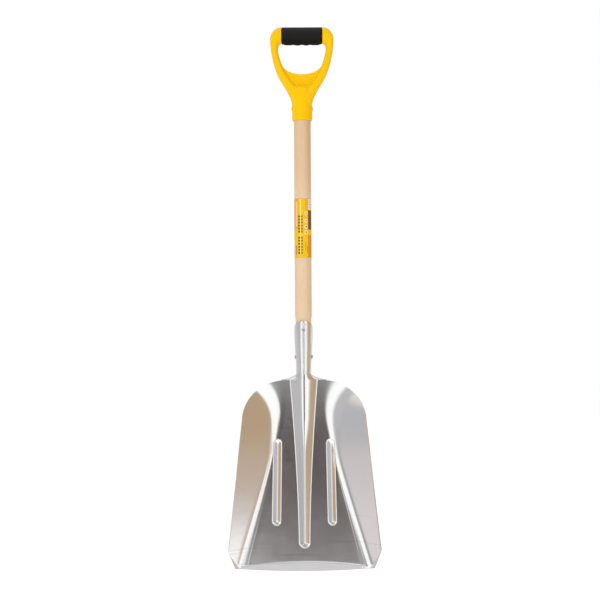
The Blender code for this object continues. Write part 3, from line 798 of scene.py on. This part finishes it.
def throat():
    heights, *sizes = zip(*THROAT)
    levels = np.linspace(heights[0], heights[-1], 25)
    widths, depths, powers = (np.interp(levels, heights, size) for size in sizes)
    points = []
    for z, w, d, power in zip(levels, widths, depths, powers):
        points += ring((-w, z), (w, z), d, power)
    faces = [list(range(RING_POINTS))[::-1], list(range(len(points) - RING_POINTS, len(points)))]
    for i in range(len(levels) - 1):
        for k in range(RING_POINTS):
            a, b = i * RING_POINTS + k, i * RING_POINTS + (k + 1) % RING_POINTS
            faces.append((a, b, b + RING_POINTS, a + RING_POINTS))
    return mesh_object("throat", points, faces)


def web():
    top = bezier([(0, 1077.3), (25, 1077.3), (43, 1086.5), (48.8, 1108)], 25)
    outline = top + [(53, 1090), (43, 1067), (22, WEB_FOOT)]
    outline += [(-x, z) for x, z in reversed(outline[1:])]
    n = len(outline)
    points = [(x, -WEB_HALF, z) for x, z in outline] + [(x, WEB_HALF, z) for x, z in outline]
    faces = [list(range(n)), list(range(2 * n - 1, n - 1, -1))]
    faces += [(k, (k + 1) % n, n + (k + 1) % n, n + k) for k in range(n)]
    return mesh_object("web", points, faces)


def build_handle(material):
    rings = arm_rings()
    chain = [[(-x, y, z) for x, y, z in r] for r in reversed(rings[1:])] + rings
    points = [p for r in chain for p in r]
    faces = []
    for i in range(len(chain) - 1):
        for k in range(RING_POINTS):
            a, b = i * RING_POINTS + k, i * RING_POINTS + (k + 1) % RING_POINTS
            faces.append((a, b, b + RING_POINTS, a + RING_POINTS))
    faces.append(list(range(RING_POINTS)))
    faces.append(list(range(len(points) - RING_POINTS, len(points))))
    obj = mesh_object("d_handle_body", points, faces)
    neck = [(0, NECK_TOP), (NECK_R, NECK_TOP), (NECK_R, NECK_RIM), (0, NECK_RIM)]
    boss_end = NECK_R + BOSS_PROUD
    extra = [turned("neck", rounded(neck, 4.0, 8)), web(), throat()]
    extra.append(rod(BOSS_R, (-boss_end, 0, BOSS_Z), (boss_end, 0, BOSS_Z)))
    for other in extra:
        joined = obj.modifiers.new("join", "BOOLEAN")
        joined.operation = "UNION"
        joined.object = other
        joined.solver = "EXACT"
        apply_modifiers(obj)
        bpy.data.objects.remove(other, do_unlink=True)
    cells = obj.modifiers.new("cells", "REMESH")
    cells.mode = "VOXEL"
    cells.voxel_size = VOXEL * MM
    soft = obj.modifiers.new("soft", "SMOOTH")
    soft.factor = 0.5
    soft.iterations = 10
    apply_modifiers(obj)
    cut(obj, rod(SHAFT_R + GAP, (0, 0, NECK_RIM - 10), (0, 0, BORE_TOP), 96))
    cut(obj, rod(PIN_R + GAP, (-2 * NECK_R, 0, BOSS_Z), (2 * NECK_R, 0, BOSS_Z)))
    obj.data.shade_smooth()
    obj.data.set_sharp_from_angle(angle=math.radians(55))
    return finished(obj, material, "d_handle")


def build_grip(material):
    length_steps, around = 200, 128
    inner_r = CORE_R + GAP
    points, faces = [], []
    for i in range(length_steps + 1):
        x = GRIP_HALF * (2 * i / length_steps - 1)
        end = GRIP_HALF - abs(x)
        swell = GRIP_SWELL * float(smoothstep(end / 10))
        fading = float(smoothstep((GRIP_WAVE_END[0] - abs(x)) / GRIP_WAVE_END[1]))
        wave = GRIP_WAVE * math.cos(2 * math.pi * x / GRIP_PITCH) * fading
        tuck = 0.8 * (1 - math.sqrt(1 - (1 - min(1.0, end / 1.2)) ** 2))
        for k in range(around):
            a = 2 * math.pi * k / around
            under = max(0.0, -math.sin(a)) ** 2
            r = GRIP_R + (swell - wave) * under - tuck
            points.append((x, r * math.cos(a), BAR_Z + r * math.sin(a)))
    for x in (-GRIP_HALF, GRIP_HALF):
        for k in range(around):
            a = 2 * math.pi * k / around
            points.append((x, inner_r * math.cos(a), BAR_Z + inner_r * math.sin(a)))
    first_end = (length_steps + 1) * around
    chain = [first_end, *[i * around for i in range(length_steps + 1)], first_end + around]
    for low, high in zip(chain, [*chain[1:], chain[0]]):
        for k in range(around):
            n = (k + 1) % around
            faces.append((low + k, low + n, high + n, high + k))
    obj = mesh_object("grip", points, faces)
    obj.data.set_sharp_from_angle(angle=math.radians(50))
    return finished(obj, material, "handle_grip")


# ---------------------------------------------------------------------------------------- fasteners


def dome(radius, height, base, count=10):
    quarter = [math.pi / 2 * i / count for i in range(count + 1)]
    return [(radius * math.sin(a), base + height * math.cos(a)) for a in quarter]


def build_fasteners(material):
    seat = float(socket_radius(RIVET_Z)) + GAP
    high, low = dome(4.4, 2.8, seat), dome(4.4, 1.8, seat)
    profile = [*high, (RIVET_R, seat), (RIVET_R, -seat), *[(r, -z) for r, z in reversed(low)]]
    obj = turned("rivet_through_socket", profile, (0, 0, RIVET_Z), "X", 64)
    finished(obj, material, "socket_rivet")

    seat = -(SOCKET_R_TOP + GAP)
    head = [(r, -z) for r, z in dome(3.8, 1.3, 0.4 - seat)]
    tip = seat + NAIL_LENGTH
    profile = [*head, (3.8, seat), (NAIL_R, seat), (NAIL_R, tip - 3), (0, tip)]
    obj = turned("nail_in_socket", profile, (0, 0, NAIL_Z), "Y", 48)
    finished(obj, material, "socket_nail")

    seat = NECK_R + BOSS_PROUD + GAP
    head = dome(4.0, 0.6, seat)
    profile = [*head, (PIN_R, seat), (PIN_R, -seat), *[(r, -z) for r, z in reversed(head)]]
    obj = turned("rivet_through_handle", profile, (0, 0, BOSS_Z), "X", 64)
    finished(obj, material, "handle_rivet")


# ------------------------------------------------------------------------------------------- studio


def studio_world():
    """White surroundings: brown wall to the right, grey one to the left, dark gap in front.

    Directions are in degrees: turn from the front (-Y) towards +X, and rise above level.
    """
    world = bpy.data.worlds.new("studio")
    bpy.context.scene.world = world
    world.use_nodes = True
    tree = world.node_tree
    tree.nodes.clear()

    def feed(socket, value):
        if isinstance(value, bpy.types.NodeSocket):
            tree.links.new(value, socket)
        elif socket.type == "RGBA":
            socket.default_value = (*value, 1)
        else:
            socket.default_value = value

    def math_node(operation, a, b=0.0):
        made = tree.nodes.new("ShaderNodeMath")
        made.operation = operation
        feed(made.inputs[0], a)
        feed(made.inputs[1], b)
        return made.outputs[0]

    def fade(value, start, end, low=0.0, high=1.0):
        made = tree.nodes.new("ShaderNodeMapRange")
        made.interpolation_type = "SMOOTHSTEP"
        for socket, given in zip(made.inputs, (value, start, end, low, high)):
            feed(socket, given)
        return made.outputs[0]

    def band(value, a, b, c, d):
        return math_node("MULTIPLY", fade(value, a, b), fade(value, c, d, 1, 0))

    def both(a, b):
        return math_node("MULTIPLY", a, b)

    def mix(share, a, b):
        made = tree.nodes.new("ShaderNodeMix")
        made.data_type = "RGBA"
        feed(made.inputs[0], share)
        feed(made.inputs[6], a)
        feed(made.inputs[7], b)
        return made.outputs[2]

    coords = tree.nodes.new("ShaderNodeTexCoord")
    split = tree.nodes.new("ShaderNodeSeparateXYZ")
    feed(split.inputs[0], coords.outputs["Generated"])
    x, y, z = split.outputs
    degrees = 180 / math.pi
    turn = both(math_node("ARCTAN2", x, both(y, -1.0)), degrees)
    rise = both(math_node("ARCSINE", z), degrees)
    aside_turn = math_node("ABSOLUTE", turn)
    colour = mix(fade(rise, -10, 40), (1.0, 1.0, 1.0), (1.04, 1.04, 1.04))

    # The brown wall to the right.
    board = mix(fade(rise, -19, -14), (0.56, 0.49, 0.445), (0.505, 0.40, 0.305))
    board = mix(fade(rise, -14, 2), board, (0.465, 0.34, 0.225))
    area = both(band(turn, 45, 53, 128, 140), band(rise, -20.8, -19, 50, 72))
    colour = mix(area, colour, board)

    # The grey wall to the left, beige near its top.
    screen = mix(fade(rise, -21, -15), (0.70, 0.65, 0.655), (0.59, 0.555, 0.55))
    screen = mix(fade(rise, -15, 3), screen, (0.465, 0.46, 0.475))
    screen = mix(fade(rise, 22, 42), screen, (0.76, 0.71, 0.67))
    area = both(band(turn, -140, -128, -57, -49), band(rise, -42, -34, 50, 72))
    colour = mix(area, colour, screen)

    # The shaded edge of the grey wall, narrower low down.
    shade = mix(fade(rise, -3, 2), (0.37, 0.36, 0.37), (0.50, 0.49, 0.50))
    near = fade(turn, fade(rise, -5, 4, -49, -38), fade(rise, -5, 4, -38, -24), 1, 0)
    area = both(both(fade(turn, -66, -56), near), band(rise, -40, -32, 32, 56))
    colour = mix(area, colour, shade)

    # The dark gap in front, wider low down.
    low_front = mix(fade(rise, -14, 8), (0.62, 0.61, 0.615), (0.085, 0.067, 0.065))
    low_front = mix(fade(turn, -4, 2, 0.25, 0), low_front, (0.03, 0.025, 0.027))
    front = mix(fade(rise, 9, 12.5), low_front, (0.31, 0.32, 0.315))
    right = fade(turn, fade(rise, 5, 8, 17, 9), fade(rise, 5, 8, 21, 14), 1, 0)
    left = fade(turn, fade(rise, -2, 3, -6, -9), fade(rise, -2, 3, 1, -2))
    colour = mix(both(both(left, right), band(rise, -45, -30, 26, 40)), colour, front)

    # What stands at the tube's own level: the tube mirrors it in upright stripes.
    level = mix(fade(turn, -110, -50), (0.68, 0.66, 0.655), (0.50, 0.485, 0.49))
    level = mix(fade(turn, -44, -34), level, (1.0, 1.0, 1.0))
    level = mix(fade(turn, -14, -9), level, (0.2, 0.195, 0.21))
    level = mix(fade(turn, -5, 2), level, (1.0, 1.0, 1.0))
    level = mix(fade(turn, 20, 40), level, (0.68, 0.58, 0.49))
    level = mix(fade(turn, 96, 112), level, (0.85, 0.81, 0.77))
    apart = math_node("SUBTRACT", 1.0, band(aside_turn, 54, 60, 94, 102))
    colour = mix(both(apart, band(rise, -6.5, -4.5, -1.6, -0.8)), colour, level)
    area = both(band(turn, -16, -11, -7, -2), band(rise, -13, -10, -5.5, -4.5))
    colour = mix(area, colour, (0.25, 0.245, 0.27))

    # Darker ground and room behind, so that the sheet shows from the sides and from behind.
    ground = mix(fade(rise, -75, -38), (0.17, 0.16, 0.155), (0.60, 0.58, 0.57))
    colour = mix(fade(rise, -36, -26), ground, colour)
    room = mix(fade(rise, -30, 50), (0.24, 0.235, 0.24), (0.66, 0.67, 0.68))
    colour = mix(fade(aside_turn, 143, 158), colour, room)

    lit = tree.nodes.new("ShaderNodeBackground")
    feed(lit.inputs["Color"], colour)
    lit.inputs["Strength"].default_value = 1.0
    seen = tree.nodes.new("ShaderNodeBackground")
    seen.inputs["Color"].default_value = (1, 1, 1, 1)
    path = tree.nodes.new("ShaderNodeLightPath")
    choose = tree.nodes.new("ShaderNodeMixShader")
    feed(choose.inputs[0], path.outputs["Is Camera Ray"])
    tree.links.new(lit.outputs[0], choose.inputs[1])
    tree.links.new(seen.outputs[0], choose.inputs[2])
    out = tree.nodes.new("ShaderNodeOutputWorld")
    tree.links.new(choose.outputs[0], out.inputs["Surface"])


def studio_floor():
    bpy.ops.mesh.primitive_circle_add(vertices=96, radius=6, fill_type="NGON")
    floor = bpy.context.active_object
    floor.name = "studio_floor"
    floor.location.z = -(HANG_HEIGHT + 350) * MM
    material = bpy.data.materials.new("studio_floor")
    material.use_nodes = True
    shader = material.node_tree.nodes["Principled BSDF"]
    shader.inputs["Base Color"].default_value = (0.9, 0.9, 0.9, 1)
    shader.inputs["Roughness"].default_value = 0.9
    shader.inputs["Emission Color"].default_value = (1, 1, 1, 1)
    shader.inputs["Emission Strength"].default_value = 0.38
    floor.data.materials.append(material)
    floor.visible_glossy = False


def lamp(name, place, size, power, tint=(1, 1, 1)):
    light = bpy.data.lights.new(name, "AREA")
    light.shape = "DISK"
    light.size = size
    light.energy = power
    light.color = tint
    obj = bpy.data.objects.new(name, light)
    bpy.context.scene.collection.objects.link(obj)
    obj.location = place
    aim = Vector((0, 0, -0.6)) - obj.location
    obj.rotation_euler = aim.to_track_quat("-Z", "Y").to_euler()
    obj.visible_glossy = False
    obj.visible_camera = False


def camera():
    data = bpy.data.cameras.new("photo_camera")
    data.lens = LENS
    data.sensor_width = 36
    obj = bpy.data.objects.new("photo_camera", data)
    bpy.context.scene.collection.objects.link(obj)
    obj.location = (EYE[0] * MM, EYE[1] * MM, (EYE[2] - HANG_HEIGHT) * MM)
    obj.rotation_euler = (math.radians(90), ROLL, 0)
    bpy.context.scene.camera = obj


# --------------------------------------------------------------------------------------------- main

build_scoop(aluminium())
build_shaft(wood())
build_label(label_film())
build_handle(yellow_plastic())
build_grip(black_rubber())
build_fasteners(zinc_steel())

studio_world()
studio_floor()
lamp("key", (-1.6, -2.2, 0.9), 1.4, 14)
camera()
bpy.context.scene.view_settings.view_transform = "Standard"
